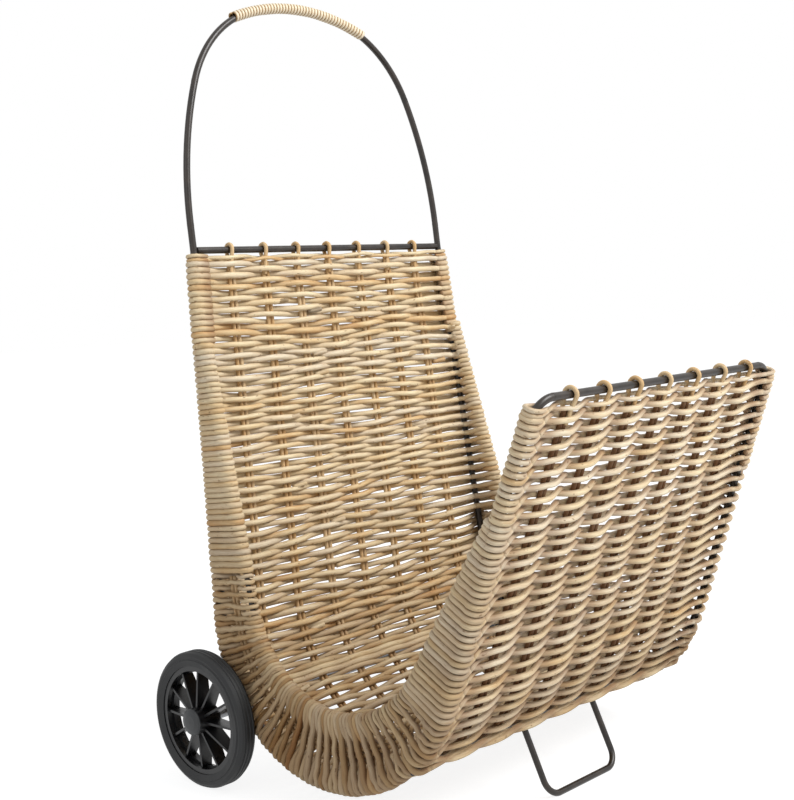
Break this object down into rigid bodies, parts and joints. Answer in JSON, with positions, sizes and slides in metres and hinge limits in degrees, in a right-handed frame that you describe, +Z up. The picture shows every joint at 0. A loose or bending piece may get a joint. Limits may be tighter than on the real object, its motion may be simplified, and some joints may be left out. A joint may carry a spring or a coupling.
{
  "type": "fireside log cart",
  "caption": "Wheeled fireside log cart: a bent round-bar frame with a tall arched handle, a U-shaped woven willow carrier, spoked wheels at the back and a wire leg in front.",
  "frame": {"origin": "on the floor under the middle of the cart's overall box", "axes": "+X across the cart along the axle, to the right seen from the low front panel's side; +Y to the back, where the handle and wheels are; +Z up"},
  "size_m": [0.5652, 0.5338, 0.9016],
  "materials": {
    "steel": "satin dark grey-brown black paint on round bar",
    "willow": "peeled willow, dull straw to tan",
    "stakes": "peeled willow, darker tan",
    "cane": "flat cane, slightly shiny cream",
    "wheel": "moulded black",
    "tyre": "dull charcoal rubber",
    "hub_cap": "moulded dark grey",
    "bush": "natural nylon",
    "zinc": "bright zinc"
  },
  "bodies": {
    "frame": {"handle_arch": "steel", "grip_binding": "cane", "back_crossbar": "steel", "front_rail": "steel", "side_rail_left": "steel", "side_rail_right": "steel", "rim_rod_left": "steel", "rim_rod_right": "steel", "axle_crossbar": "steel", "leg_crossbar": "steel", "leg_loop": "steel", "axle_bracket_left": "steel", "axle_bracket_right": "steel", "axle": "zinc", "spacer_left": "zinc", "spacer_right": "zinc", "washer_left": "zinc", "washer_right": "zinc", "push_nut_left": "zinc", "push_nut_right": "zinc", "stake_1": "stakes", "stake_2": "stakes", "stake_3": "stakes", "stake_4": "stakes", "stake_5": "stakes", "stake_6": "stakes", "stake_7": "stakes", "side_stake_left": "stakes", "side_stake_right": "stakes", "back_weavers": "willow", "bottom_weavers": "willow", "front_weavers": "willow", "side_weavers_left": "willow", "side_weavers_right": "willow"},
    "left_wheel": {"bush_left": "bush", "wheel_left": "wheel", "tyre_left": "tyre", "hub_cap_left": "hub_cap"},
    "right_wheel": {"bush_right": "bush", "wheel_right": "wheel", "tyre_right": "tyre", "hub_cap_right": "hub_cap"}
  },
  "joints": [
    {"name": "left_wheel_spin", "type": "hinge", "parent": "frame", "child": "left_wheel", "pos_m": [-0.261, 0.18518, 0.077], "axis": [1, 0, 0], "continuous": true},
    {"name": "right_wheel_spin", "type": "hinge", "parent": "frame", "child": "right_wheel", "pos_m": [0.261, 0.18518, 0.077], "axis": [1, 0, 0], "continuous": true}
  ]
}
